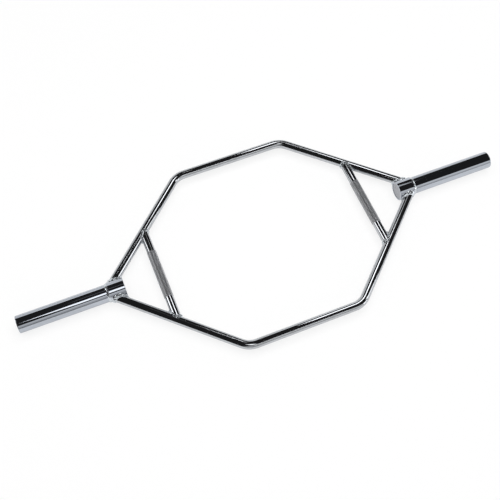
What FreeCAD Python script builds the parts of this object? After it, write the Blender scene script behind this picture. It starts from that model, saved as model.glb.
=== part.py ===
import FreeCAD, Part
import math
import os

Vector = FreeCAD.Vector

# Hex trap bar: a welded hexagon of round bar, with two grips across it and a loading sleeve at each end.
# Millimetres. Origin at the middle of the hexagon, on the common axis of the two sleeves.
# +X along the sleeves to the right, +Y to the rear, +Z up, square to the flat of the hexagon.

# Hexagon frame: two bent bars, front and rear
frame_bar_diameter = 25.4
frame_half_length = 475.0
frame_half_width = 292.0
long_side_length = 334.0
bend_radius = 57.0

# Grips across the frame
handle_spacing = 635.0
handle_diameter = 25.0
knurl_length = 152.0
knurl_height = 0.7

# Loading sleeves
overall_length = 1450.0
sleeve_diameter = 50.0
sleeve_wall = 7.5
sleeve_rim_radius = 2.5

# Stop collars that the frame bars are welded to
collar_diameter = 56.0
collar_wall = 4.0
collar_edge_land = 0.7
collar_chamfer = 0.3

# Discs that close the sleeve ends
inner_plate_thickness = 6.0
outer_plug_length = 12.0
end_recess = 0.6
disc_chamfer = 0.6

# Weld beads
frame_weld_leg_on_bar = 10.0
frame_weld_leg_inboard = 5.5
frame_weld_leg_outboard = 2.5
frame_weld_leg_round_collar = 6.5
frame_weld_crown = 1.6
handle_weld_leg_on_handle = 8.0
handle_weld_leg_on_bar = 5.0
handle_weld_crown = 1.1
weld_root_depth = 2.0
weld_toe_sink = 0.25
weld_stations = 40
ring_weld_length = 7.0
ring_weld_crown = 0.5

# Fits
seat_clearance = 0.03

# Radii and lines that follow from the sizes above
bar_radius = frame_bar_diameter / 2
handle_radius = handle_diameter / 2
sleeve_radius = sleeve_diameter / 2
bore_radius = sleeve_radius - sleeve_wall
collar_radius = collar_diameter / 2
spigot_radius = collar_radius - collar_wall
sleeve_end_x = overall_length / 2
corner_x = long_side_length / 2
handle_x = handle_spacing / 2

ORIGIN = Vector(0, 0, 0)
X_AXIS = Vector(1, 0, 0)
Y_AXIS = Vector(0, 1, 0)
FULL_TURN = 360
EIGHTH_TURN = math.pi / 4

# An arm runs from the sleeve axis to a corner of the hexagon
apex = Vector(frame_half_length, 0, 0)
corner = Vector(corner_x, frame_half_width, 0)
arm_direction = (corner - apex).normalize()
arm_angle = math.atan2(frame_half_width, frame_half_length - corner_x)

# The collar is as long as the arm's footprint, with the weld's legs and a narrow land at each end
footprint_middle = frame_half_length - collar_radius / math.tan(arm_angle)
footprint_half = bar_radius / math.sin(arm_angle)
collar_inner_x = footprint_middle - footprint_half - frame_weld_leg_inboard - collar_edge_land
collar_outer_x = footprint_middle + footprint_half + frame_weld_leg_outboard + collar_edge_land
ring_weld_end_x = collar_outer_x + ring_weld_length


def point_on_arm(x):
    """Point of the right rear arm's centre line at a distance from the middle of the bar."""
    return apex + arm_direction * ((apex.x - x) / -arm_direction.x)


handle_end = point_on_arm(handle_x)


def turned(edges):
    """Solid of revolution about the sleeve axis from the edges of a closed outline in the XY plane."""
    outline = Part.Face(Part.Wire(edges))
    return outline.revolve(ORIGIN, X_AXIS, FULL_TURN)


def lines(*points):
    """Straight edges from point to point."""
    return [Part.LineSegment(a, b).toShape() for a, b in zip(points, points[1:])]


def closed_lines(*points):
    """Closed polygon of straight edges."""
    return lines(*points, points[0])


def halfway(a, b):
    """Point in the middle between two points."""
    return (a + b) / 2


def frame_bar():
    """Rear bar of the hexagon: two arms and a long side with a round bend between them."""
    tangent = bend_radius * math.tan(arm_angle / 2)
    bend_middle = bend_radius * (1 / math.cos(arm_angle / 2) - 1)
    arm_tangent = corner - arm_direction * tangent
    side_tangent = corner - X_AXIS * tangent
    inward = (halfway(arm_tangent, side_tangent) - corner).normalize()
    right = [apex, arm_tangent, corner + inward * bend_middle, side_tangent]
    left = [Vector(-p.x, p.y, p.z) for p in right]
    path = Part.Wire([
        Part.LineSegment(right[0], right[1]).toShape(),
        Part.Arc(right[1], right[2], right[3]).toShape(),
        Part.LineSegment(right[3], left[3]).toShape(),
        Part.Arc(left[3], left[2], left[1]).toShape(),
        Part.LineSegment(left[1], left[0]).toShape(),
    ])
    section = Part.Wire(Part.makeCircle(bar_radius, apex, arm_direction))
    return path.makePipeShell([section], True, False)


def collar_blank():
    """Round bar as thick as the collars, through both of them."""
    return Part.makeCylinder(collar_radius, overall_length, Vector(-sleeve_end_x, 0, 0), X_AXIS)


def handle():
    """Right grip: a straight bar from arm to arm with a raised knurled middle."""
    half = handle_end.y
    knurl_half = knurl_length / 2
    crest = handle_radius + knurl_height
    outline = closed_lines(
        Vector(handle_x, -half, 0),
        Vector(handle_x + handle_radius, -half, 0),
        Vector(handle_x + handle_radius, -knurl_half, 0),
        Vector(handle_x + crest, -knurl_half + knurl_height, 0),
        Vector(handle_x + crest, knurl_half - knurl_height, 0),
        Vector(handle_x + handle_radius, knurl_half, 0),
        Vector(handle_x + handle_radius, half, 0),
        Vector(handle_x, half, 0),
    )
    return Part.Face(Part.Wire(outline)).revolve(Vector(handle_x, 0, 0), Y_AXIS, FULL_TURN)


def sleeve():
    """Right loading sleeve: a thick tube, turned down where it sits in the collar, with a rounded rim."""
    seat = spigot_radius - seat_clearance
    start = collar_inner_x + end_recess + inner_plate_thickness
    rim_centre = Vector(sleeve_end_x - sleeve_rim_radius, sleeve_radius - sleeve_rim_radius, 0)
    rim_side = rim_centre + Y_AXIS * sleeve_rim_radius
    rim_face = rim_centre + X_AXIS * sleeve_rim_radius
    rim_slant = Vector(math.cos(EIGHTH_TURN), math.sin(EIGHTH_TURN), 0)
    edges = lines(
        rim_side,
        Vector(ring_weld_end_x, sleeve_radius, 0),
        Vector(ring_weld_end_x, seat, 0),
        Vector(start, seat, 0),
        Vector(start, bore_radius, 0),
        Vector(sleeve_end_x, bore_radius, 0),
        rim_face,
    )
    rim = Part.Arc(rim_face, rim_centre + rim_slant * sleeve_rim_radius, rim_side)
    return turned(edges + [rim.toShape()])


def stop_collar():
    """Right collar: a ring on the sleeve's inner end, which takes both arms and stops the plates."""
    return turned(closed_lines(
        Vector(collar_inner_x, spigot_radius, 0),
        Vector(collar_inner_x, collar_radius - collar_chamfer, 0),
        Vector(collar_inner_x + collar_chamfer, collar_radius, 0),
        Vector(collar_outer_x - collar_chamfer, collar_radius, 0),
        Vector(collar_outer_x, collar_radius - collar_chamfer, 0),
        Vector(collar_outer_x, spigot_radius, 0),
    ))


def disc(radius, outer_face_x, inner_face_x):
    """Round disc with a chamfer round its outer face."""
    step = math.copysign(disc_chamfer, inner_face_x - outer_face_x)
    return turned(closed_lines(
        Vector(outer_face_x, 0, 0),
        Vector(outer_face_x, radius - disc_chamfer, 0),
        Vector(outer_face_x + step, radius, 0),
        Vector(inner_face_x, radius, 0),
        Vector(inner_face_x, 0, 0),
    ))


def inner_plate():
    """Disc set in the collar's bore, against the end of the sleeve."""
    face_x = collar_inner_x + end_recess
    return disc(spigot_radius - seat_clearance, face_x, face_x + inner_plate_thickness)


def outer_plug():
    """Disc that closes the sleeve's outer end."""
    face_x = sleeve_end_x - end_recess
    return disc(bore_radius - seat_clearance, face_x, face_x - outer_plug_length)


def ring_weld():
    """Bead round the sleeve in the corner of the collar's shoulder."""
    seat = spigot_radius - seat_clearance
    top = Vector(collar_outer_x, collar_radius - collar_chamfer, 0)
    toe = Vector(ring_weld_end_x, sleeve_radius, 0)
    crown = halfway(top, toe) + Y_AXIS * ring_weld_crown
    edges = lines(
        toe,
        Vector(ring_weld_end_x, seat, 0),
        Vector(collar_outer_x, seat, 0),
        top,
    )
    return turned(edges + [Part.Arc(top, crown, toe).toShape()])


def saddle_bead(root, branch, branch_radius, run, run_radius, leg_on_branch, legs_on_run, bulge):
    """Fillet bead round a bar (the branch) where it meets the side of another round bar (the run).

    root is the point where the centre lines cross, and branch and run are their directions. legs_on_run
    are the bead's legs on the run: forward along it, backward along it and round it.
    """
    forward_leg, backward_leg, round_leg = legs_on_run
    across = (branch - run * branch.dot(run)).normalize()
    normal = run.cross(across)
    side = normal.cross(branch)
    slope = branch.dot(across)
    sections = []
    for station in range(weld_stations):
        angle = 2 * math.pi * station / weld_stations
        off_bar = side * math.cos(angle) + normal * math.sin(angle)
        height = branch_radius * math.sin(angle)
        reach = math.sqrt(max(0.0, run_radius ** 2 - height ** 2))
        along = (reach - branch_radius * off_bar.dot(across)) / slope
        seam = root + branch * along + off_bar * branch_radius
        turn = math.atan2(height, reach)
        off_run = across * math.cos(turn) + normal * math.sin(turn)
        round_run = normal * math.cos(turn) - across * math.sin(turn)
        spread = math.atan2(off_bar.dot(round_run), off_bar.dot(run))
        end_leg = forward_leg if math.cos(spread) > 0 else backward_leg
        leg = end_leg * math.cos(spread) ** 2 + round_leg * math.sin(spread) ** 2
        toe_turn = turn + leg * math.sin(spread) / run_radius
        toe_along = (seam - root).dot(run) + leg * math.cos(spread)
        toe_off = across * math.cos(toe_turn) + normal * math.sin(toe_turn)
        run_toe = root + run * toe_along + toe_off * (run_radius - weld_toe_sink)
        bar_toe = seam + branch * leg_on_branch - off_bar * weld_toe_sink
        inside = seam - branch * weld_root_depth - off_bar * weld_root_depth
        crown = halfway(run_toe, bar_toe) + (off_bar + off_run).normalize() * bulge
        outline = [Part.Arc(bar_toe, crown, run_toe).toShape()] + lines(run_toe, inside, bar_toe)
        sections.append(Part.Wire(outline))
    return Part.makeLoft(sections, True, False, True)


def one_solid(shape):
    """The single solid that a cut leaves."""
    if len(shape.Solids) != 1:
        raise ValueError("expected one solid, found %d" % len(shape.Solids))
    return shape.Solids[0]


def mirrored(shape, flip_x, flip_y):
    """Copy of a right rear piece on the left, on the front, or both."""
    if flip_x:
        shape = shape.mirror(ORIGIN, X_AXIS)
    if flip_y:
        shape = shape.mirror(ORIGIN, Y_AXIS)
    return shape


def build():
    """All pieces of the bar, by node name."""
    rear_bar = one_solid(frame_bar().cut(collar_blank()))
    front_bar = mirrored(rear_bar, False, True)
    grip = one_solid(handle().cut(rear_bar).cut(front_bar))
    frame_weld = saddle_bead(
        apex, arm_direction, bar_radius, X_AXIS * -1, collar_radius, frame_weld_leg_on_bar,
        (frame_weld_leg_inboard, frame_weld_leg_outboard, frame_weld_leg_round_collar), frame_weld_crown)
    frame_weld = one_solid(frame_weld.cut(rear_bar).cut(collar_blank()))
    handle_weld = saddle_bead(
        handle_end, Y_AXIS * -1, handle_radius, arm_direction, bar_radius, handle_weld_leg_on_handle,
        (handle_weld_leg_on_bar,) * 3, handle_weld_crown)
    handle_weld = one_solid(handle_weld.cut(rear_bar).cut(grip))

    pieces = {"frame_bar_front": front_bar, "frame_bar_rear": rear_bar}
    for side, flip_x in (("right", False), ("left", True)):
        on_side = {
            "handle": grip,
            "sleeve_tube": sleeve(),
            "stop_collar": stop_collar(),
            "inner_end_plate": inner_plate(),
            "outer_end_plug": outer_plug(),
            "collar_weld": ring_weld(),
        }
        for name, shape in on_side.items():
            pieces["%s_%s" % (name, side)] = mirrored(shape, flip_x, False)
        for end, flip_y in (("rear", False), ("front", True)):
            pieces["frame_weld_%s_%s" % (end, side)] = mirrored(frame_weld, flip_x, flip_y)
            pieces["handle_weld_%s_%s" % (end, side)] = mirrored(handle_weld, flip_x, flip_y)
    return pieces


os.makedirs("parts", exist_ok=True)
for node, piece in build().items():
    piece.exportStep("parts/%s.step" % node)
    print("%-24s %10.0f mm3 valid %s" % (node, piece.Volume, piece.isValid()))
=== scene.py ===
import math

import bmesh
import bpy
from bpy.props import FloatProperty, FloatVectorProperty, IntProperty, PointerProperty
from bpy.types import Operator, Panel, PropertyGroup
from mathutils import Matrix, Vector


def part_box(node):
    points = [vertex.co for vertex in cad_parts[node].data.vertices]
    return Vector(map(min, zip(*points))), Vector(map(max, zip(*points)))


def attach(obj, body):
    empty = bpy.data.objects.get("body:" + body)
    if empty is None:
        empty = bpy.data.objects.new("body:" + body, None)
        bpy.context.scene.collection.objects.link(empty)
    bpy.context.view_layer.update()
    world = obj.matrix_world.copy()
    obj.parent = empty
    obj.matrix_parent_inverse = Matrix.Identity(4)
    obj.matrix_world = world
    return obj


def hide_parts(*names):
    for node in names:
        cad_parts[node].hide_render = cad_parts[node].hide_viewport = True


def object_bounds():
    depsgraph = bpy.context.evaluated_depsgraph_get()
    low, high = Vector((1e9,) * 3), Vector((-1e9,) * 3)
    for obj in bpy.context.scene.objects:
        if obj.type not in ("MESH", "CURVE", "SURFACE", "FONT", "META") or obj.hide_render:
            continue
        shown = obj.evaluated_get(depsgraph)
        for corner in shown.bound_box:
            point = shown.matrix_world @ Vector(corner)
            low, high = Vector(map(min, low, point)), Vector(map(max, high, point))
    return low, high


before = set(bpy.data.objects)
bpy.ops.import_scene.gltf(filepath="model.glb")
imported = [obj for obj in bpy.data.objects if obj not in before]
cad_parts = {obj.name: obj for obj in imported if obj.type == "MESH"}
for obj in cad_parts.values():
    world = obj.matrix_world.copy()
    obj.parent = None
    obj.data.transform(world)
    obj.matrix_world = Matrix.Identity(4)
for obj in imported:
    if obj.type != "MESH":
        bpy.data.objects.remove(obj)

bl_info = {
    "name": "Hex Trap Bar",
    "version": (1, 0, 0),
    "blender": (4, 5, 0),
    "location": "3D View > Sidebar > Trap Bar",
    "description": "Models the chrome of a hex trap bar: bent bars, knurled handles, sleeves and weld beads",
    "category": "Object",
}

CAD_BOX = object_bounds()
BODY = "root"

# Node names: a piece on the right or left, and a bar or bead at the front or rear
SIDES = ("right", "left")
ENDS = ("rear", "front")

# Boxes of the CAD nodes that the sizes are read from
BAR_LOW, BAR_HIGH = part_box("frame_bar_rear")
HANDLE_LOW, HANDLE_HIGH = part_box("handle_right")
SLEEVE_LOW, SLEEVE_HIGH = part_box("sleeve_tube_right")
COLLAR_LOW, COLLAR_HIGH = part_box("stop_collar_right")
PLATE_LOW, PLATE_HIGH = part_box("inner_end_plate_right")
PLUG_LOW, PLUG_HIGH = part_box("outer_end_plug_right")
RING_LOW, RING_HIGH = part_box("collar_weld_right")
HANDLE_X = (HANDLE_LOW.x + HANDLE_HIGH.x) / 2

X_AXIS = Vector((1, 0, 0))
Y_AXIS = Vector((0, 1, 0))
Z_AXIS = Vector((0, 0, 1))
MICRON = 1e-6

# Width of the narrow strip beside a bend or a rounded edge that keeps the long faces' shading true
HOLD = 0.0004

# Edges that turn by more than this many degrees stay crisp
CRISP = 30
CRISP_ON_HANDLE = 25
CRISP_ON_BEAD = 60

# Steps in the rounding of a sleeve's rim and of the other turned edges
RIM_STEPS = 8
EDGE_STEPS = 4

# Least share of X in the normal of a drum's flat end
FLAT_END = 0.9


def length(name, description, default):
    """A length that a user may change, in metres."""
    return FloatProperty(name=name, description=description, default=default, unit="LENGTH", precision=5)


def turn_angle(name, description, degrees):
    """An angle that a user may change, given in degrees."""
    return FloatProperty(name=name, description=description, default=math.radians(degrees), subtype="ANGLE")


def amount(name, description, default):
    """A share from 0 to 1 that a user may change."""
    return FloatProperty(name=name, description=description, default=default, subtype="FACTOR")


def brightness(name, description, default):
    """A brightness that a user may change, where 1 is white."""
    return FloatProperty(name=name, description=description, default=default)


def colour(name, description, default):
    """A colour that a user may change."""
    return FloatVectorProperty(name=name, description=description, default=default, subtype="COLOR", size=3)


class TrapBarSizes(PropertyGroup):
    """Sizes of the bar, in metres. Those that a node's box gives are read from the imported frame."""

    bar_radius: length("Bar radius", "Radius of the frame bars", BAR_HIGH.z)
    half_width: length("Half width", "Sleeve axis to the centre line of a long side", BAR_HIGH.y - BAR_HIGH.z)
    half_length: length("Half length", "Middle of the bar to where two arms meet the sleeve axis", 0.475)
    long_side: length("Long side", "Length of a long side between its sharp corners", 0.334)
    bend_radius: length("Bend radius", "Radius of a bend's centre line", 0.057)
    handle_x: length("Handle place", "Middle of the bar to a handle's axis", HANDLE_X)
    handle_radius: length("Handle radius", "Radius of a handle's plain ends", 0.0125)
    knurl_length: length("Knurl length", "Length of the knurled middle", 0.152)
    knurl_depth: length("Knurl depth", "Height of the diamonds over their valleys", 0.00045)
    knurl_flank: length("Knurl flank", "Width of a diamond's sloping sides", 0.00029)
    collar_radius: length("Collar radius", "Outside radius of a stop collar", COLLAR_HIGH.z)
    sleeve_radius: length("Sleeve radius", "Outside radius of a loading sleeve", SLEEVE_HIGH.z)
    seat_radius: length("Seat radius", "Radius of the sleeve's end inside the collar", PLATE_HIGH.z)
    bore_radius: length("Bore radius", "Radius of the sleeve's bore", PLUG_HIGH.z)
    rim_radius: length("Rim radius", "Rounding of the sleeve's outer rim", 0.0025)
    collar_bevel: length("Collar bevel", "Rounding of the collar's edges", 0.0004)
    disc_bevel: length("Disc bevel", "Rounding of the end discs' edges", 0.0006)
    frame_leg_on_bar: length("Frame weld on bar", "Leg of a frame weld along the bar", 0.010)
    frame_leg_inboard: length("Frame weld inboard", "Leg of a frame weld on the collar, inboard", 0.0055)
    frame_leg_outboard: length("Frame weld outboard", "Leg of a frame weld on the collar, outboard", 0.0025)
    frame_leg_round: length("Frame weld round collar", "Leg of a frame weld round the collar", 0.0065)
    frame_weld_crown: length("Frame weld crown", "How far a frame weld bulges", 0.0016)
    handle_leg_on_handle: length("Handle weld on handle", "Leg of a handle weld along the handle", 0.008)
    handle_leg_on_bar: length("Handle weld on bar", "Leg of a handle weld on the bar", 0.005)
    handle_weld_crown: length("Handle weld crown", "How far a handle weld bulges", 0.0011)
    ring_weld_crown: length("Ring weld crown", "How far a ring weld bulges", 0.0008)
    ripple_pitch: length("Ripple pitch", "Distance from ripple to ripple round a bar's bead", 0.0090)
    ripple_height: length("Ripple height", "Height of the ripples round a bar's bead", 0.0008)
    ring_ripple_pitch: length("Ring ripple pitch", "Distance from ripple to ripple along a ring weld", 0.0036)
    ring_ripple_height: length("Ring ripple height", "Height of a ring weld's ripples", 0.00005)
    bar_sides: IntProperty(name="Bar sides", description="Flats round a bar", default=64)
    sleeve_sides: IntProperty(name="Sleeve sides", description="Flats round a sleeve", default=128)
    bend_steps: IntProperty(name="Bend steps", description="Rings in a bend", default=28)
    knurl_starts: IntProperty(name="Knurl starts", description="Diamonds round a handle", default=52)
    knurl_rows: IntProperty(name="Knurl rows", description="Diamonds along a handle", default=58)


class TrapBarFinish(PropertyGroup):
    """Colours and gloss of the bar's finishes."""

    chrome_tint: colour("Chrome", "Colour of the plating on bars and handles", (0.505, 0.52, 0.545))
    sleeve_tint: colour("Sleeve chrome", "Colour of the plating on sleeves and collars", (0.49, 0.52, 0.575))
    weld_tint: colour("Weld chrome", "Colour of the plating on the beads", (0.66, 0.70, 0.74))
    knurl_tint: colour("Knurl", "Colour of the plating on the knurl's slopes", (0.35, 0.355, 0.37))
    crest_tint: colour("Knurl crests", "Colour of the plating on the knurl's flats", (0.72, 0.725, 0.75))
    disc_tint: colour("End discs", "Colour of the faced end discs", (0.40, 0.41, 0.44))
    chrome_roughness: amount("Chrome roughness", "Roughness of clean plating", 0.04)
    weld_roughness: amount("Weld roughness", "Roughness of the beads", 0.10)
    knurl_roughness: amount("Knurl roughness", "Roughness of the knurl's slopes", 0.30)
    crest_roughness: amount("Crest roughness", "Roughness of the knurl's flats", 0.32)
    disc_roughness: amount("Disc roughness", "Roughness of the faced end discs", 0.24)


class TrapBarStage(PropertyGroup):
    """Camera, floor and light."""

    aim: FloatVectorProperty(
        name="Aim", description="Point the camera looks at", subtype="TRANSLATION", size=3,
        default=(-0.0556, -0.0214, 0.0))
    azimuth: turn_angle("Azimuth", "Camera's turn from the front", -21.98)
    elevation: turn_angle("Elevation", "Camera's height angle", 61.30)
    distance: length("Distance", "Camera to the aim", 2.2935)
    lens: FloatProperty(name="Lens", description="Focal length on a 36 mm sensor", default=58.14)
    floor_size: length("Floor size", "Width of the floor", 14.0)
    floor_tint: colour("Floor", "Colour of the floor", (0.93, 0.93, 0.93))
    floor_fill: amount("Floor fill", "Share of plain white in the floor, against its shadows", 0.80)
    mirrored_fill: amount("Mirrored fill", "The same share where the metal mirrors the floor", 0.30)
    floor_light: brightness("Floor light", "Brightness of the floor's own lamp", 2.3)
    wall_level: brightness("Wall level", "Brightness of the pale walls", 0.50)
    ceiling_level: brightness("Ceiling level", "Brightness of the dark ceiling", 0.02)


def sizes():
    return bpy.context.scene.trap_bar_sizes


def finish():
    return bpy.context.scene.trap_bar_finish


# Geometry of the frame, worked out from the sizes

class Arm:
    """Centre line of the right rear arm, from the sleeve axis to its corner."""

    def __init__(self):
        s = sizes()
        self.apex = Vector((s.half_length, 0, 0))
        self.corner = Vector((s.long_side / 2, s.half_width, 0))
        self.direction = (self.corner - self.apex).normalized()
        self.angle = math.atan2(s.half_width, s.half_length - self.corner.x)
        self.tangent = s.bend_radius * math.tan(self.angle / 2)
        self.arm_end = self.corner - self.direction * self.tangent
        self.side_start = self.corner - X_AXIS * self.tangent
        self.bend_centre = self.side_start - Y_AXIS * s.bend_radius

    def at(self, x):
        """Point of the centre line at a place along X."""
        return self.apex + self.direction * ((x - self.apex.x) / self.direction.x)


# Modelling helpers

def deselect_all():
    """Nothing selected, in object mode."""
    if bpy.context.mode != "OBJECT":
        bpy.ops.object.mode_set(mode="OBJECT")
    bpy.ops.object.select_all(action="DESELECT")


def facing(direction):
    """Rotation that turns a primitive's Z axis to a direction."""
    return direction.to_track_quat("Z", "Y").to_euler()


def settle(name):
    """Name the new primitive and put its place into its mesh."""
    piece = bpy.context.object
    piece.name = name
    piece.data.name = name
    bpy.ops.object.transform_apply(location=True, rotation=True, scale=True)
    return piece


def add_ring(name, radius, sides, centre, direction):
    """Circle of edges square to a direction, selected in edit mode, ready to be extruded."""
    deselect_all()
    bpy.ops.mesh.primitive_circle_add(
        vertices=sides, radius=radius, location=centre, rotation=facing(direction))
    piece = settle(name)
    bpy.ops.object.mode_set(mode="EDIT")
    bpy.ops.mesh.select_all(action="SELECT")
    return piece


def add_drum(name, radius, sides, start_x, end_x):
    """Closed cylinder on the sleeve axis."""
    deselect_all()
    bpy.ops.mesh.primitive_cylinder_add(
        vertices=sides, radius=radius, depth=abs(end_x - start_x),
        location=((start_x + end_x) / 2, 0, 0), rotation=facing(X_AXIS))
    return settle(name)


def extrude(offset):
    bpy.ops.mesh.extrude_region_move(TRANSFORM_OT_translate={"value": offset})


def edit_mesh(piece):
    """The piece's mesh, open in edit mode with nothing selected."""
    bpy.context.view_layer.objects.active = piece
    piece.select_set(True)
    if bpy.context.mode != "EDIT_MESH":
        bpy.ops.object.mode_set(mode="EDIT")
    bpy.ops.mesh.select_all(action="DESELECT")
    return bmesh.from_edit_mesh(piece.data)


def select_faces(piece, wanted):
    """Select the faces that a test picks, in face mode."""
    mesh = edit_mesh(piece)
    bpy.ops.mesh.select_mode(type="FACE")
    for face in mesh.faces:
        face.select = wanted(face)
    mesh.select_flush_mode()
    bmesh.update_edit_mesh(piece.data)


def select_edges(piece, wanted):
    """Select the edges that a test picks, in edge mode."""
    mesh = edit_mesh(piece)
    bpy.ops.mesh.select_mode(type="EDGE")
    for edge in mesh.edges:
        edge.select = wanted(edge)
    mesh.select_flush_mode()
    bmesh.update_edit_mesh(piece.data)


def end_face(x):
    """Test for the flat face of a drum at a place along X."""
    return lambda face: abs(face.normal.x) > FLAT_END and abs(face.calc_center_median().x - x) < MICRON


def rim_edges(x, radius):
    """Test for the ring of edges at a place along X and a distance from the axis."""
    def wanted(edge):
        return all(
            abs(v.co.x - x) < MICRON and abs(math.hypot(v.co.y, v.co.z) - radius) < 10 * MICRON
            for v in edge.verts)
    return wanted


def bevel_rims(piece, rims, width, segments):
    """Round the rings of edges given as (x, radius)."""
    tests = [rim_edges(x, radius) for x, radius in rims]
    select_edges(piece, lambda edge: any(test(edge) for test in tests))
    bpy.ops.mesh.bevel(offset=width, offset_type="OFFSET", segments=segments, profile=0.5, affect="EDGES")


def hold_rings(piece, *places):
    """Cut a ring round a drum at each place along X."""
    for x in places:
        edit_mesh(piece)
        bpy.ops.mesh.select_all(action="SELECT")
        bpy.ops.mesh.bisect(plane_co=(x, 0, 0), plane_no=X_AXIS)


def hold_end_face(piece, x):
    """Cut a narrow strip along the edges of the flat face at a place along X."""
    select_faces(piece, end_face(x))
    bpy.ops.mesh.inset(thickness=HOLD)


def fill_open_ends(piece):
    """Close each open ring of a tube with a face."""
    select_edges(piece, lambda edge: edge.is_boundary)
    bpy.ops.mesh.edge_face_add()


def point_outwards(piece):
    """Merge doubles, then turn all faces outwards."""
    edit_mesh(piece)
    bpy.ops.mesh.select_all(action="SELECT")
    bpy.ops.mesh.remove_doubles(threshold=MICRON)
    bpy.ops.mesh.normals_make_consistent(inside=False)
    bpy.ops.object.mode_set(mode="OBJECT")


def cut_with(piece, radius, start, end):
    """Cope a piece with a round bar that runs from one point to another."""
    deselect_all()
    axis = end - start
    bpy.ops.mesh.primitive_cylinder_add(
        vertices=sizes().sleeve_sides, radius=radius, depth=axis.length,
        location=(start + end) / 2, rotation=facing(axis))
    cutter = settle("cutter")
    deselect_all()
    bpy.context.view_layer.objects.active = piece
    cope = piece.modifiers.new("cope", "BOOLEAN")
    cope.operation = "DIFFERENCE"
    cope.solver = "EXACT"
    cope.object = cutter
    bpy.ops.object.modifier_apply(modifier=cope.name)
    bpy.data.objects.remove(cutter)


def smooth(piece, angle):
    """Smooth shading, with edges sharper than the angle kept crisp."""
    deselect_all()
    piece.select_set(True)
    bpy.context.view_layer.objects.active = piece
    bpy.ops.object.shade_smooth_by_angle(angle=math.radians(angle))


def mirrored(piece, name, flip_x, flip_y):
    """Copy of a right rear piece, with its own mesh, on the left, at the front, or both."""
    copy = piece.copy()
    copy.data = piece.data.copy()
    copy.name = name
    copy.data.name = name
    bpy.context.scene.collection.objects.link(copy)
    copy.data.transform(Matrix.Diagonal((-1 if flip_x else 1, -1 if flip_y else 1, 1, 1)))
    if flip_x != flip_y:
        copy.data.flip_normals()
    return copy


def place(piece, slot, node, *materials):
    """Give a piece its finishes, hang it under the body's empty and hide its CAD node."""
    if not piece.data.materials:
        for material in materials:
            piece.data.materials.append(material)
    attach(piece, BODY)
    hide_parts(node)


def place_on_sides(piece, stem, slot, *materials):
    """Place the right piece and its mirror image on the left."""
    pair = {"right": piece, "left": mirrored(piece, stem + "_left", True, False)}
    for side in SIDES:
        place(pair[side], slot, "%s_%s" % (stem, side), *materials)


def place_at_corners(piece, stem, slot, *materials):
    """Place the right rear piece and its three mirror images."""
    for side in SIDES:
        for end in ENDS:
            name = "%s_%s_%s" % (stem, end, side)
            flips = (side == "left", end == "front")
            copy = mirrored(piece, name, *flips) if any(flips) else piece
            place(copy, slot, name, *materials)


# Finishes

def node_group(name, inputs, outputs):
    """Empty shader node group with named sockets."""
    group = bpy.data.node_groups.new(name, "ShaderNodeTree")
    for socket, kind, default in inputs:
        made = group.interface.new_socket(socket, in_out="INPUT", socket_type=kind)
        if default is not None:
            made.default_value = default
    for socket, kind in outputs:
        group.interface.new_socket(socket, in_out="OUTPUT", socket_type=kind)
    return group, group.nodes.new("NodeGroupInput"), group.nodes.new("NodeGroupOutput")


def math_node(nodes, operation, *values):
    """Math node with its fixed inputs set."""
    node = nodes.new("ShaderNodeMath")
    node.operation = operation
    for socket, value in zip(node.inputs, values):
        if value is not None:
            socket.default_value = value
    return node


def vector_node(nodes, operation, value=None):
    """Vector Math node with its second input set."""
    node = nodes.new("ShaderNodeVectorMath")
    node.operation = operation
    if value is not None:
        node.inputs[1].default_value = value
    return node


def noise_node(nodes, scale, detail, distortion=0.0):
    """Noise texture: its fineness, its layers and how far it is warped."""
    node = nodes.new("ShaderNodeTexNoise")
    node.inputs["Scale"].default_value = scale
    node.inputs["Detail"].default_value = detail
    node.inputs["Distortion"].default_value = distortion
    return node


def part_range(nodes, low, high):
    """Map Range node from 0 at the low value to 1 at the high one."""
    node = nodes.new("ShaderNodeMapRange")
    node.inputs["From Min"].default_value = low
    node.inputs["From Max"].default_value = high
    return node


def smooth_range(nodes, low, high, at_low, at_high):
    """Map Range node that eases from one value to another."""
    node = part_range(nodes, low, high)
    node.interpolation_type = "SMOOTHSTEP"
    node.inputs["To Min"].default_value = at_low
    node.inputs["To Max"].default_value = at_high
    return node


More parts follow.
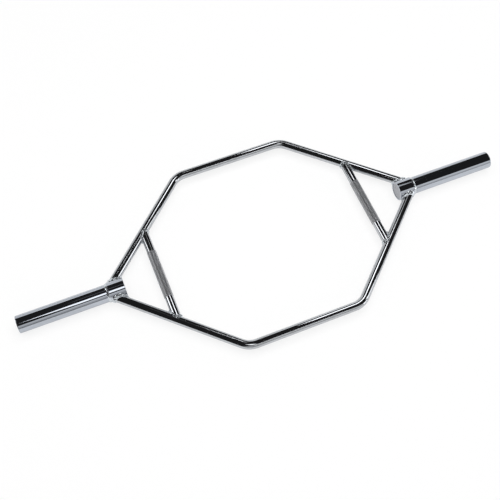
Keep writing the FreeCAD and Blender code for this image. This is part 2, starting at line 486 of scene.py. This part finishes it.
def handling_marks_group():
    """Cloudy haze and fine scratches that handling leaves on plating: a roughness and a shade."""
    group, entry, out = node_group(
        "Handling marks",
        [("Vector", "NodeSocketVector", None), ("Roughness", "NodeSocketFloat", 0.05),
         ("Haze", "NodeSocketFloat", 0.05), ("Scratches", "NodeSocketFloat", 0.08),
         ("Tint", "NodeSocketColor", (0.6, 0.6, 0.6, 1))],
        [("Roughness", "NodeSocketFloat"), ("Color", "NodeSocketColor")])
    nodes, links = group.nodes, group.links
    cloud = noise_node(nodes, scale=28, detail=5)
    haze_range = part_range(nodes, low=0.42, high=0.78)
    hair = noise_node(nodes, scale=900, detail=2, distortion=1.4)
    hair_range = part_range(nodes, low=0.60, high=0.74)
    haze = math_node(nodes, "MULTIPLY")
    scratches = math_node(nodes, "MULTIPLY")
    with_haze = math_node(nodes, "ADD")
    with_scratches = math_node(nodes, "ADD")
    dull = nodes.new("ShaderNodeMix")
    dull.data_type = "RGBA"
    dull.blend_type = "MULTIPLY"
    dull.inputs["B"].default_value = (0.86, 0.86, 0.85, 1)
    for texture in (cloud, hair):
        links.new(entry.outputs["Vector"], texture.inputs["Vector"])
    links.new(cloud.outputs["Fac"], haze_range.inputs["Value"])
    links.new(hair.outputs["Fac"], hair_range.inputs["Value"])
    links.new(haze_range.outputs["Result"], haze.inputs[0])
    links.new(entry.outputs["Haze"], haze.inputs[1])
    links.new(hair_range.outputs["Result"], scratches.inputs[0])
    links.new(entry.outputs["Scratches"], scratches.inputs[1])
    links.new(entry.outputs["Roughness"], with_haze.inputs[0])
    links.new(haze.outputs[0], with_haze.inputs[1])
    links.new(with_haze.outputs[0], with_scratches.inputs[0])
    links.new(scratches.outputs[0], with_scratches.inputs[1])
    links.new(haze_range.outputs["Result"], dull.inputs["Factor"])
    links.new(entry.outputs["Tint"], dull.inputs["A"])
    links.new(with_scratches.outputs[0], out.inputs["Roughness"])
    links.new(dull.outputs["Result"], out.inputs["Color"])
    return group


def plating_waves_group():
    """Very shallow waves of polished and plated steel, as a height in metres."""
    group, entry, out = node_group(
        "Plating waves",
        [("Vector", "NodeSocketVector", None), ("Wave", "NodeSocketFloat", 0.00002),
         ("Grain", "NodeSocketFloat", 0.000001)],
        [("Height", "NodeSocketFloat")])
    nodes, links = group.nodes, group.links
    wave = noise_node(nodes, scale=45, detail=1)
    grain = noise_node(nodes, scale=700, detail=3)
    wave_height = math_node(nodes, "MULTIPLY")
    grain_height = math_node(nodes, "MULTIPLY")
    total = math_node(nodes, "ADD")
    for texture in (wave, grain):
        links.new(entry.outputs["Vector"], texture.inputs["Vector"])
    links.new(wave.outputs["Fac"], wave_height.inputs[0])
    links.new(entry.outputs["Wave"], wave_height.inputs[1])
    links.new(grain.outputs["Fac"], grain_height.inputs[0])
    links.new(entry.outputs["Grain"], grain_height.inputs[1])
    links.new(wave_height.outputs[0], total.inputs[0])
    links.new(grain_height.outputs[0], total.inputs[1])
    links.new(total.outputs[0], out.inputs["Height"])
    return group


def plated_material(
        name, tint, roughness, haze, scratches, wave=0.0, grain=0.0, metallic=1.0, stretch=(1, 1, 1)):
    """Plated steel: one Principled surface fed by the handling marks and the plating waves."""
    material = bpy.data.materials.new(name)
    material.use_nodes = True
    nodes, links = material.node_tree.nodes, material.node_tree.links
    surface = nodes["Principled BSDF"]
    surface.inputs["Metallic"].default_value = metallic
    place_node = nodes.new("ShaderNodeTexCoord")
    mapping = nodes.new("ShaderNodeMapping")
    mapping.inputs["Scale"].default_value = stretch
    marks = nodes.new("ShaderNodeGroup")
    marks.node_tree = bpy.data.node_groups["Handling marks"]
    marks.inputs["Roughness"].default_value = roughness
    marks.inputs["Haze"].default_value = haze
    marks.inputs["Scratches"].default_value = scratches
    marks.inputs["Tint"].default_value = (*tint, 1)
    waves = nodes.new("ShaderNodeGroup")
    waves.node_tree = bpy.data.node_groups["Plating waves"]
    waves.inputs["Wave"].default_value = wave
    waves.inputs["Grain"].default_value = grain
    bump = nodes.new("ShaderNodeBump")
    bump.inputs["Strength"].default_value = 1.0
    bump.inputs["Distance"].default_value = 1.0
    links.new(place_node.outputs["Object"], mapping.inputs["Vector"])
    links.new(mapping.outputs["Vector"], marks.inputs["Vector"])
    links.new(place_node.outputs["Object"], waves.inputs["Vector"])
    links.new(marks.outputs["Color"], surface.inputs["Base Color"])
    links.new(marks.outputs["Roughness"], surface.inputs["Roughness"])
    links.new(waves.outputs["Height"], bump.inputs["Height"])
    links.new(bump.outputs["Normal"], surface.inputs["Normal"])
    return material


def make_finishes():
    """All finishes of the bar, by name."""
    handling_marks_group()
    plating_waves_group()
    f = finish()
    gloss = f.chrome_roughness
    plated_material("Chrome bar", f.chrome_tint, gloss, haze=0.03, scratches=0.03, wave=4e-6)
    plated_material(
        "Chrome sleeve", f.sleeve_tint, gloss, haze=0.03, scratches=0.05, wave=4e-6, stretch=(0.12, 1, 1))
    plated_material("Chrome collar", f.sleeve_tint, gloss, haze=0.03, scratches=0.03, wave=6e-6)
    plated_material(
        "Chromed weld", f.weld_tint, f.weld_roughness, haze=0.06, scratches=0.05, wave=1e-5, grain=1e-6,
        metallic=0.88)
    plated_material(
        "Knurled chrome", f.knurl_tint, f.knurl_roughness, haze=0.10, scratches=0.10, grain=1e-6,
        metallic=0.5)
    plated_material("Knurl crests", f.crest_tint, f.crest_roughness, haze=0.06, scratches=0.06, grain=1e-6)
    plated_material("Faced disc", f.disc_tint, f.disc_roughness, haze=0.06, scratches=0.06, grain=1e-6)


def finish_named(name):
    return bpy.data.materials[name]


# Pieces

class TRAPBAR_OT_finishes(Operator):
    """Make the chrome, knurl, weld and disc finishes"""

    bl_idname = "trap_bar.finishes"
    bl_label = "Finishes"

    def execute(self, context):
        make_finishes()
        return {"FINISHED"}


class TRAPBAR_OT_frame_bars(Operator):
    """Bend the two frame bars and cope their ends to the collars"""

    bl_idname = "trap_bar.frame_bars"
    bl_label = "Frame bars"

    def execute(self, context):
        s, arm = sizes(), Arm()
        piece = add_ring("frame_bar_rear", s.bar_radius, s.bar_sides, arm.apex, arm.direction)
        self.straight(arm.arm_end - arm.apex)
        self.bend(arm.bend_centre, arm.angle)
        self.straight(-2 * arm.side_start.x * X_AXIS)
        self.bend(Vector((-arm.bend_centre.x, arm.bend_centre.y, 0)), arm.angle)
        left_arm = Vector((-arm.direction.x, arm.direction.y, 0))
        self.straight(-left_arm * (arm.arm_end - arm.apex).length)
        fill_open_ends(piece)
        point_outwards(piece)
        reach = Vector((s.half_length + s.collar_radius, 0, 0))
        cut_with(piece, s.collar_radius, -reach, reach)
        smooth(piece, CRISP)
        place(piece, "chrome_bar", "frame_bar_rear", finish_named("Chrome bar"))
        front = mirrored(piece, "frame_bar_front", False, True)
        place(front, "chrome_bar", "frame_bar_front", finish_named("Chrome bar"))
        return {"FINISHED"}

    def straight(self, offset):
        """Extrude a straight length with a ring close to each end."""
        hold = offset.normalized() * HOLD
        for part in (hold, offset - 2 * hold, hold):
            extrude(part)

    def bend(self, centre, angle):
        """Sweep the selected ring to the left round a bend. Spin turns clockwise about its axis."""
        bpy.ops.mesh.spin(steps=sizes().bend_steps, angle=angle, center=centre, axis=-Z_AXIS)


# Tests on the knurl: most share of Y in a band face's normal, and how near to a row, in rows, its points lie
BAND_SLOPE = 0.5
ROW_SLACK = 0.1

# Places of the knurl's finishes in the handle's list, after the plain chrome
ON_SLOPES = 1
ON_CRESTS = 2


class TRAPBAR_OT_handles(Operator):
    """Model the two handles with their diamond knurl"""

    bl_idname = "trap_bar.handles"
    bl_label = "Handles"

    def execute(self, context):
        s, arm = sizes(), Arm()
        end = arm.at(s.handle_x)
        crest = HANDLE_HIGH.x - s.handle_x
        valley = crest - s.knurl_depth
        shoulder = valley - s.handle_radius
        row = s.knurl_length / s.knurl_rows
        piece = add_ring(
            "handle_right", s.handle_radius, s.knurl_starts, Vector((end.x, -end.y, 0)), Y_AXIS)
        extrude(Y_AXIS * (end.y - s.knurl_length / 2 - shoulder))
        self.step(shoulder, s.handle_radius, valley)
        for _ in range(s.knurl_rows):
            extrude(Y_AXIS * row)
        self.step(shoulder, valley, s.handle_radius)
        extrude(Y_AXIS * (end.y - s.knurl_length / 2 - shoulder))
        fill_open_ends(piece)
        point_outwards(piece)
        self.knurl(piece, row)
        for sign in (1, -1):
            start = Vector((arm.apex.x, 0, 0))
            stop = Vector((arm.corner.x, sign * arm.corner.y, 0))
            cut_with(piece, s.bar_radius, start, stop)
        smooth(piece, CRISP_ON_HANDLE)
        place_on_sides(
            piece, "handle", "knurled_chrome", finish_named("Chrome bar"), finish_named("Knurled chrome"),
            finish_named("Knurl crests"))
        return {"FINISHED"}

    def step(self, along, radius, new_radius):
        """Short cone from one radius to another."""
        extrude(Y_AXIS * along)
        grow = new_radius / radius
        ring = [v.co for v in bmesh.from_edit_mesh(bpy.context.object.data).verts if v.select]
        middle = sum(ring, Vector()) / len(ring)
        bpy.ops.transform.resize(value=(grow, 1, grow), center_override=middle)

    def knurl(self, piece, row):
        """Turn the rows of squares into diamonds with sloping sides and a small flat crest."""
        s = sizes()
        half = s.knurl_length / 2

        def in_band(face):
            return abs(face.calc_center_median().y) < half and abs(face.normal.y) < BAND_SLOPE

        def on_row(vertex):
            rows = (vertex.co.y + half) / row
            return abs(vertex.co.y) < half + MICRON and abs(rows - round(rows)) < ROW_SLACK

        def old_edge(edge):
            on_rim = all(abs(abs(vertex.co.y) - half) < MICRON for vertex in edge.verts)
            return all(on_row(vertex) for vertex in edge.verts) and not on_rim

        select_faces(piece, in_band)
        bpy.ops.mesh.poke(offset=0)
        select_edges(piece, old_edge)
        bpy.ops.mesh.dissolve_edges(use_verts=False)
        select_faces(piece, in_band)
        bpy.ops.mesh.inset(use_individual=True, thickness=s.knurl_flank, depth=s.knurl_depth)
        bpy.ops.object.mode_set(mode="OBJECT")
        for polygon in piece.data.polygons:
            middle = polygon.center
            off_axis = math.hypot(middle.x - s.handle_x, middle.z)
            on_band = abs(middle.y) < half and off_axis > s.handle_radius
            if on_band:
                polygon.material_index = ON_CRESTS if polygon.select else ON_SLOPES


class TRAPBAR_OT_sleeves(Operator):
    """Turn the two loading sleeves"""

    bl_idname = "trap_bar.sleeves"
    bl_label = "Sleeves"

    def execute(self, context):
        s = sizes()
        wall_start, wall_end = RING_HIGH.x, SLEEVE_HIGH.x
        piece = add_drum("sleeve_tube_right", s.sleeve_radius, s.sleeve_sides, wall_start, wall_end)
        select_faces(piece, end_face(wall_end))
        bpy.ops.mesh.inset(thickness=s.sleeve_radius - s.bore_radius)
        extrude(X_AXIS * (PLUG_LOW.x - wall_end))
        select_faces(piece, end_face(wall_start))
        bpy.ops.mesh.inset(thickness=s.sleeve_radius - s.seat_radius)
        extrude(X_AXIS * (SLEEVE_LOW.x - wall_start))
        bevel_rims(piece, [(wall_end, s.sleeve_radius)], s.rim_radius, RIM_STEPS)
        hold_end_face(piece, wall_end)
        hold_rings(piece, wall_end - s.rim_radius - HOLD)
        point_outwards(piece)
        smooth(piece, CRISP)
        place_on_sides(piece, "sleeve_tube", "chrome_sleeve", finish_named("Chrome sleeve"))
        return {"FINISHED"}


class TRAPBAR_OT_collars(Operator):
    """Turn the two stop collars that the arms are welded to"""

    bl_idname = "trap_bar.collars"
    bl_label = "Stop collars"

    def execute(self, context):
        s = sizes()
        ends = (COLLAR_LOW.x, COLLAR_HIGH.x)
        piece = add_drum("stop_collar_right", s.collar_radius, s.sleeve_sides, *ends)
        both = [end_face(x) for x in ends]
        select_faces(piece, lambda face: any(test(face) for test in both))
        bpy.ops.mesh.inset(thickness=s.collar_radius - s.seat_radius)
        bpy.ops.mesh.bridge_edge_loops()
        bevel_rims(piece, [(x, s.collar_radius) for x in ends], s.collar_bevel, EDGE_STEPS)
        for x in ends:
            hold_end_face(piece, x)
        hold = s.collar_bevel + HOLD
        hold_rings(piece, ends[0] + hold, ends[1] - hold)
        point_outwards(piece)
        smooth(piece, CRISP)
        place_on_sides(piece, "stop_collar", "chrome_collar", finish_named("Chrome collar"))
        return {"FINISHED"}


class TRAPBAR_OT_end_discs(Operator):
    """Turn the discs that close the sleeve ends"""

    bl_idname = "trap_bar.end_discs"
    bl_label = "End discs"

    def execute(self, context):
        discs = (
            ("inner_end_plate", PLATE_HIGH.z, PLATE_LOW.x, PLATE_HIGH.x),
            ("outer_end_plug", PLUG_HIGH.z, PLUG_HIGH.x, PLUG_LOW.x),
        )
        for stem, radius, face_x, back_x in discs:
            self.disc(stem, radius, face_x, back_x)
        return {"FINISHED"}

    def disc(self, stem, radius, face_x, back_x):
        """Disc with a rounded edge round its shown face."""
        s = sizes()
        piece = add_drum(stem + "_right", radius, s.sleeve_sides, face_x, back_x)
        bevel_rims(piece, [(face_x, radius)], s.disc_bevel, EDGE_STEPS)
        hold_end_face(piece, face_x)
        point_outwards(piece)
        smooth(piece, CRISP)
        place_on_sides(piece, stem, "chrome_end_disc", finish_named("Faced disc"))


# Weld beads

# Points across a bead's face and below it, and stations along it, of which a torus takes only so many
BEAD_POINTS = 13
ROOT_POINTS = 3
STEPS_PER_RIPPLE = 10
MOST_STATIONS = 256

# How deep a bead goes below the seam, and how far its toes sink in, so that they don't stand off
ROOT_DEPTH = 0.0015
TOE_SINK = 0.0002

# How far a ripple's middle lags behind its ends, in pitches
RIPPLE_LAG = 0.9

# Hand-made unevenness: its share or size, and its waves round the bead
LUMPS = 0.35
LUMP_WAVES = (5, 8, 11)
RUN_LEG_SWAY = 0.07
RUN_LEG_WAVES = (3, 5, 11)
BRANCH_LEG_SWAY = 0.09
BRANCH_LEG_WAVES = (2, 7, 13)
RING_TOE_SWAY = 0.0006
RING_TOE_WAVES = (5, 9, 17)
SWAY_SHIFT = 0.37


def bead(name, section_at, seam_length, ripple_pitch, ripple_height):
    """Closed bead from a torus, with a run of weld ripples along it.

    section_at gives, for a share of the way round, the two toes, a point below the seam, the way
    out of the corner and the crown's height.
    """
    ripples = round(seam_length / ripple_pitch)
    stations = ripples * min(STEPS_PER_RIPPLE, MOST_STATIONS // ripples)
    points = BEAD_POINTS + ROOT_POINTS
    deselect_all()
    bpy.ops.mesh.primitive_torus_add(major_segments=stations, minor_segments=points)
    piece = settle(name)
    if len(piece.data.vertices) != stations * points:
        raise RuntimeError("%s does not close round its seam" % name)
    for index, vertex in enumerate(piece.data.vertices):
        station, point = divmod(index, points)
        share = station / stations
        first_toe, second_toe, root, outward, crown = section_at(share)
        if point < BEAD_POINTS:
            across = point / (BEAD_POINTS - 1)
            bulge = 1 - (2 * across - 1) ** 2
            phase = share * ripples - RIPPLE_LAG * bulge
            ripple = ripple_height * bulge * math.cos(2 * math.pi * phase)
            lump = 1 + LUMPS * sway(share, LUMP_WAVES)
            vertex.co = first_toe.lerp(second_toe, across) + outward * (crown * bulge * lump + ripple)
        else:
            across = (point - BEAD_POINTS + 1) / (ROOT_POINTS + 1)
            corner = abs(2 * across - 1)
            edge_toe = second_toe if across < 0.5 else first_toe
            vertex.co = root.lerp(edge_toe, corner)
    point_outwards(piece)
    smooth(piece, CRISP_ON_BEAD)
    return piece


def sway(share, counts):
    """Slow hand-made unevenness round a bead, from -1 to 1."""
    waves = [math.sin(2 * math.pi * (count * share + SWAY_SHIFT * count * count)) for count in counts]
    return sum(waves) / len(waves)


def saddle_bead(name, root, branch, branch_radius, run, run_radius, leg_on_branch, legs_on_run, crown):
    """Bead round a bar (the branch) where it meets the side of another round bar (the run).

    legs_on_run are its legs on the run: forward along it, backward along it and round it.
    """
    forward_leg, backward_leg, round_leg = legs_on_run
    across = (branch - run * branch.dot(run)).normalized()
    normal = run.cross(across)
    side = normal.cross(branch)

    def section_at(share):
        angle = 2 * math.pi * share
        off_bar = side * math.cos(angle) + normal * math.sin(angle)
        height = branch_radius * math.sin(angle)
        reach = math.sqrt(max(0.0, run_radius ** 2 - height ** 2))
        along = (reach - branch_radius * off_bar.dot(across)) / branch.dot(across)
        seam = root + branch * along + off_bar * branch_radius
        turn = math.atan2(height, reach)
        off_run = across * math.cos(turn) + normal * math.sin(turn)
        round_run = normal * math.cos(turn) - across * math.sin(turn)
        spread = math.atan2(off_bar.dot(round_run), off_bar.dot(run))
        end_leg = forward_leg if math.cos(spread) > 0 else backward_leg
        run_leg = end_leg * math.cos(spread) ** 2 + round_leg * math.sin(spread) ** 2
        run_leg *= 1 + RUN_LEG_SWAY * sway(share, RUN_LEG_WAVES)
        bar_leg = leg_on_branch * (1 + BRANCH_LEG_SWAY * sway(share, BRANCH_LEG_WAVES))
        toe_turn = turn + run_leg * math.sin(spread) / run_radius
        toe_along = (seam - root).dot(run) + run_leg * math.cos(spread)
        toe_off = across * math.cos(toe_turn) + normal * math.sin(toe_turn)
        run_toe = root + run * toe_along + toe_off * (run_radius - TOE_SINK)
        bar_toe = seam + branch * bar_leg - off_bar * TOE_SINK
        below = seam - branch * ROOT_DEPTH - off_bar * ROOT_DEPTH
        return bar_toe, run_toe, below, (off_bar + off_run).normalized(), crown

    rough_length = 2 * math.pi * branch_radius / branch.dot(across)
    s = sizes()
    return bead(name, section_at, rough_length, s.ripple_pitch, s.ripple_height)


class TRAPBAR_OT_frame_welds(Operator):
    """Lay the beads between the arms and the collars"""

    bl_idname = "trap_bar.frame_welds"
    bl_label = "Frame welds"

    def execute(self, context):
        s, arm = sizes(), Arm()
        piece = saddle_bead(
            "frame_weld_rear_right", arm.apex, arm.direction, s.bar_radius, -X_AXIS, s.collar_radius,
            s.frame_leg_on_bar, (s.frame_leg_inboard, s.frame_leg_outboard, s.frame_leg_round),
            s.frame_weld_crown)
        place_at_corners(piece, "frame_weld", "chromed_weld", finish_named("Chromed weld"))
        return {"FINISHED"}


class TRAPBAR_OT_handle_welds(Operator):
    """Lay the beads between the handles and the arms"""

    bl_idname = "trap_bar.handle_welds"
    bl_label = "Handle welds"

    def execute(self, context):
        s, arm = sizes(), Arm()
        piece = saddle_bead(
            "handle_weld_rear_right", arm.at(s.handle_x), -Y_AXIS, s.handle_radius, arm.direction,
            s.bar_radius, s.handle_leg_on_handle, (s.handle_leg_on_bar,) * 3, s.handle_weld_crown)
        place_at_corners(piece, "handle_weld", "chromed_weld", finish_named("Chromed weld"))
        return {"FINISHED"}


class TRAPBAR_OT_collar_welds(Operator):
    """Lay the ring beads between the collars and the sleeves"""

    bl_idname = "trap_bar.collar_welds"
    bl_label = "Collar welds"

    def execute(self, context):
        s = sizes()
        start, end = RING_LOW.x, RING_HIGH.x
        top = RING_HIGH.z

        def section_at(share):
            angle = 2 * math.pi * share
            spoke = Vector((0, math.cos(angle), math.sin(angle)))
            toe_x = end + RING_TOE_SWAY * sway(share, RING_TOE_WAVES)
            shoulder_toe = X_AXIS * start + spoke * top
            sleeve_toe = X_AXIS * toe_x + spoke * (s.sleeve_radius - TOE_SINK)
            below = X_AXIS * (start + ROOT_DEPTH) + spoke * s.seat_radius
            return shoulder_toe, sleeve_toe, below, (X_AXIS + spoke).normalized(), s.ring_weld_crown

        piece = bead(
            "collar_weld_right", section_at, 2 * math.pi * s.collar_radius,
            s.ring_ripple_pitch, s.ring_ripple_height)
        place_on_sides(piece, "collar_weld", "chromed_weld", finish_named("Chromed weld"))
        return {"FINISHED"}


# Stage

# Lamps under the ceiling: name, place (x, y), size, turn in degrees, brightness of the face
OVERHEAD_HEIGHT = 4.0
OVERHEAD_LAMPS = (
    ("Rear lamp", (1.37, 1.68), (0.80, 1.34), 1.7, 3.3),
    ("Rear right lamp", (1.98, 2.22), (0.58, 2.19), -3.1, 0.7),
    ("Small rear lamp", (0.36, 1.55), (0.24, 0.24), 0.0, 2.5),
    ("Dim left lamp", (-0.50, 0.97), (0.20, 0.62), 52.9, 0.24),
    ("Front lamp", (-0.45, -1.86), (1.07, 1.57), 15.8, 1.95),
    ("Front strip lamp", (0.87, -4.09), (1.49, 0.20), 4.2, 2.8),
)

# Lamps on stands: name, turn from the front and height in degrees, size, brightness of the face
SIDE_DISTANCE = 4.5
SIDE_LAMPS = (
    ("Right lamp", 65.8, 19.8, (0.71, 2.50), 2.05),
    ("Low right lamp", 50.2, 7.7, (1.22, 0.82), 2.95),
    ("Far right lamp", 101.0, 20.0, (1.20, 1.90), 1.6),
    ("Left lamp", -114.5, 29.1, (1.39, 1.82), 2.35),
    ("Front fill lamp", 1.4, 49.8, (0.50, 2.14), 0.38),
)

# Wide lamp for the floor alone
FLOOR_LAMP_HEIGHT = 4.6
FLOOR_LAMP_SIZE = (6, 6)

SENSOR_WIDTH = 36

# Sine of the height of the walls' upper edge, how it goes with the direction (x, y, y2 - x2, 2xy),
# and its softness
WALL_EDGE = 0.137
WALL_EDGE_SLOPES = (0.068, -0.216, 0.739, -0.064)
WALL_FADE = 0.02

# Distance from the middle, in metres, over which the floor fades from its shadows to plain white
SHADOW_REACH = (1.2, 3.5)

# How the walls' brightness goes with the direction (x, y, z)
WALL_SLOPES = (0.41, 0.22, 0.83)


def direction_at(azimuth, elevation):
    """Unit vector at a turn from the front, to the right, and a height angle."""
    flat = math.cos(elevation)
    return Vector((math.sin(azimuth) * flat, -math.cos(azimuth) * flat, math.sin(elevation)))


def aim_at(thing, target):
    """Turn a camera or lamp so that it looks at a point."""
    thing.rotation_euler = (Vector(target) - thing.location).to_track_quat("-Z", "Y").to_euler()


class TRAPBAR_OT_stage(Operator):
    """Set the camera, the pale floor, the studio walls and the soft lamps"""

    bl_idname = "trap_bar.stage"
    bl_label = "Stage"

    def execute(self, context):
        stage = context.scene.trap_bar_stage
        self.camera(context, stage)
        self.floor(stage)
        self.walls(context, stage)
        for lamp in OVERHEAD_LAMPS:
            self.overhead_lamp(*lamp)
        for lamp in SIDE_LAMPS:
            self.side_lamp(*lamp)
        self.floor_lamp(stage)
        context.scene.view_settings.view_transform = "Standard"
        return {"FINISHED"}

    def camera(self, context, stage):
        bpy.ops.object.camera_add()
        camera = context.object
        camera.location = Vector(stage.aim) + direction_at(stage.azimuth, stage.elevation) * stage.distance
        camera.data.sensor_width = SENSOR_WIDTH
        camera.data.lens = stage.lens
        aim_at(camera, stage.aim)
        context.scene.camera = camera

    def floor(self, stage):
        bpy.ops.mesh.primitive_plane_add(size=stage.floor_size, location=(0, 0, CAD_BOX[0][2]))
        floor = bpy.context.object
        floor.name = "floor"
        floor.data.materials.append(self.floor_material(stage))

    def floor_material(self, stage):
        """Pale floor that shows white to the camera and in the metal, and keeps its shadows."""
        material = bpy.data.materials.new("Pale floor")
        material.use_nodes = True
        nodes, links = material.node_tree.nodes, material.node_tree.links
        paper = nodes["Principled BSDF"]
        paper.inputs["Base Color"].default_value = (*stage.floor_tint, 1)
        paper.inputs["Roughness"].default_value = 0.9
        paper.inputs["Specular IOR Level"].default_value = 0.0
        glow = nodes.new("ShaderNodeEmission")
        path = nodes.new("ShaderNodeLightPath")
        place_node = nodes.new("ShaderNodeTexCoord")
        far = vector_node(nodes, "LENGTH")
        fill = smooth_range(nodes, *SHADOW_REACH, stage.floor_fill, 1)
        seen = math_node(nodes, "MULTIPLY")
        white = math_node(nodes, "MULTIPLY_ADD", None, stage.mirrored_fill)
        mix = nodes.new("ShaderNodeMixShader")
        links.new(place_node.outputs["Object"], far.inputs[0])
        links.new(far.outputs["Value"], fill.inputs["Value"])
        links.new(path.outputs["Is Camera Ray"], seen.inputs[0])
        links.new(fill.outputs["Result"], seen.inputs[1])
        links.new(path.outputs["Is Glossy Ray"], white.inputs[0])
        links.new(seen.outputs[0], white.inputs[2])
        links.new(white.outputs[0], mix.inputs["Fac"])
        links.new(paper.outputs["BSDF"], mix.inputs[1])
        links.new(glow.outputs["Emission"], mix.inputs[2])
        links.new(mix.outputs["Shader"], nodes["Material Output"].inputs["Surface"])
        return material

    def walls(self, context, stage):
        """Studio round the bar: pale walls up to an edge that rises and falls, and a dark ceiling above.

        The metal mirrors it. To the camera it is a plain white backdrop.
        """
        world = bpy.data.worlds.new("Studio")
        context.scene.world = world
        world.use_nodes = True
        nodes, links = world.node_tree.nodes, world.node_tree.links
        across, along, squares, product = WALL_EDGE_SLOPES
        coordinate = nodes.new("ShaderNodeTexCoord")
        split = nodes.new("ShaderNodeSeparateXYZ")
        first = nodes.new("ShaderNodeCombineXYZ")
        second = nodes.new("ShaderNodeCombineXYZ")
        pairs = vector_node(nodes, "MULTIPLY")
        waves = vector_node(nodes, "DOT_PRODUCT", (squares, -squares, -2 * product))
        height = vector_node(nodes, "DOT_PRODUCT", (-across, -along, 1))
        over = math_node(nodes, "ADD")
        below = smooth_range(nodes, WALL_EDGE - WALL_FADE, WALL_EDGE + WALL_FADE, 1, 0)
        slope = vector_node(nodes, "DOT_PRODUCT", WALL_SLOPES)
        wall = math_node(nodes, "ADD", None, stage.wall_level)
        light = nodes.new("ShaderNodeMix")
        light.inputs["A"].default_value = stage.ceiling_level
        path = nodes.new("ShaderNodeLightPath")
        shown = nodes.new("ShaderNodeMix")
        shown.inputs["B"].default_value = 1.0
        links.new(coordinate.outputs["Generated"], split.inputs["Vector"])
        for combined, names in ((first, "XYX"), (second, "XYY")):
            for socket, name in zip(combined.inputs, names):
                links.new(split.outputs[name], socket)
        links.new(first.outputs["Vector"], pairs.inputs[0])
        links.new(second.outputs["Vector"], pairs.inputs[1])
        links.new(pairs.outputs["Vector"], waves.inputs[0])
        links.new(coordinate.outputs["Generated"], height.inputs[0])
        links.new(height.outputs["Value"], over.inputs[0])
        links.new(waves.outputs["Value"], over.inputs[1])
        links.new(over.outputs[0], below.inputs["Value"])
        links.new(coordinate.outputs["Generated"], slope.inputs[0])
        links.new(slope.outputs["Value"], wall.inputs[0])
        links.new(wall.outputs[0], light.inputs["B"])
        links.new(below.outputs["Result"], light.inputs["Factor"])
        links.new(path.outputs["Is Camera Ray"], shown.inputs["Factor"])
        links.new(light.outputs["Result"], shown.inputs["A"])
        links.new(shown.outputs["Result"], nodes["Background"].inputs["Strength"])
        nodes["Background"].inputs["Color"].default_value = (1, 1, 1, 1)

    def lamp(self, name, location, size, level):
        """Soft rectangular lamp with a face of the given brightness."""
        bpy.ops.object.light_add(type="AREA")
        lamp = bpy.context.object
        lamp.name = name
        lamp.data.shape = "RECTANGLE"
        lamp.data.size, lamp.data.size_y = size
        lamp.data.energy = level * math.pi * size[0] * size[1]
        lamp.location = location
        return lamp

    def overhead_lamp(self, name, spot, size, turn, level):
        """Lamp under the ceiling that looks straight down."""
        lamp = self.lamp(name, (*spot, OVERHEAD_HEIGHT), size, level)
        lamp.rotation_euler.z = math.radians(turn)

    def side_lamp(self, name, azimuth, elevation, size, level):
        """Lamp on a stand that looks at the bar's middle."""
        stand = direction_at(math.radians(azimuth), math.radians(elevation)) * SIDE_DISTANCE
        aim_at(self.lamp(name, stand, size, level), (0, 0, 0))

    def floor_lamp(self, stage):
        """Wide lamp for the floor and its shadows, kept out of the chrome's reflections."""
        lamp = self.lamp("Floor lamp", (0, 0, FLOOR_LAMP_HEIGHT), FLOOR_LAMP_SIZE, stage.floor_light)
        lamp.visible_glossy = False


class TRAPBAR_PT_sidebar(Panel):
    """Lists the steps that model the trap bar"""

    bl_idname = "TRAPBAR_PT_sidebar"
    bl_label = "Hex Trap Bar"
    bl_space_type = "VIEW_3D"
    bl_region_type = "UI"
    bl_category = "Trap Bar"

    def draw(self, context):
        for step in STEPS:
            self.layout.operator(step.bl_idname)
        for group in ("trap_bar_sizes", "trap_bar_finish", "trap_bar_stage"):
            values = getattr(context.scene, group)
            box = self.layout.box()
            for name in values.__annotations__:
                box.prop(values, name)


STEPS = (
    TRAPBAR_OT_finishes,
    TRAPBAR_OT_frame_bars,
    TRAPBAR_OT_handles,
    TRAPBAR_OT_sleeves,
    TRAPBAR_OT_collars,
    TRAPBAR_OT_end_discs,
    TRAPBAR_OT_frame_welds,
    TRAPBAR_OT_handle_welds,
    TRAPBAR_OT_collar_welds,
    TRAPBAR_OT_stage,
)
GROUPS = (TrapBarSizes, TrapBarFinish, TrapBarStage)


def register():
    for cls in (*GROUPS, *STEPS, TRAPBAR_PT_sidebar):
        bpy.utils.register_class(cls)
    bpy.types.Scene.trap_bar_sizes = PointerProperty(type=TrapBarSizes)
    bpy.types.Scene.trap_bar_finish = PointerProperty(type=TrapBarFinish)
    bpy.types.Scene.trap_bar_stage = PointerProperty(type=TrapBarStage)


def unregister():
    del bpy.types.Scene.trap_bar_stage
    del bpy.types.Scene.trap_bar_finish
    del bpy.types.Scene.trap_bar_sizes
    for cls in reversed((*GROUPS, *STEPS, TRAPBAR_PT_sidebar)):
        bpy.utils.unregister_class(cls)


def main():
    register()
    for step in STEPS:
        family, name = step.bl_idname.split(".")
        getattr(getattr(bpy.ops, family), name)()


if __name__ == "__main__":
    main()
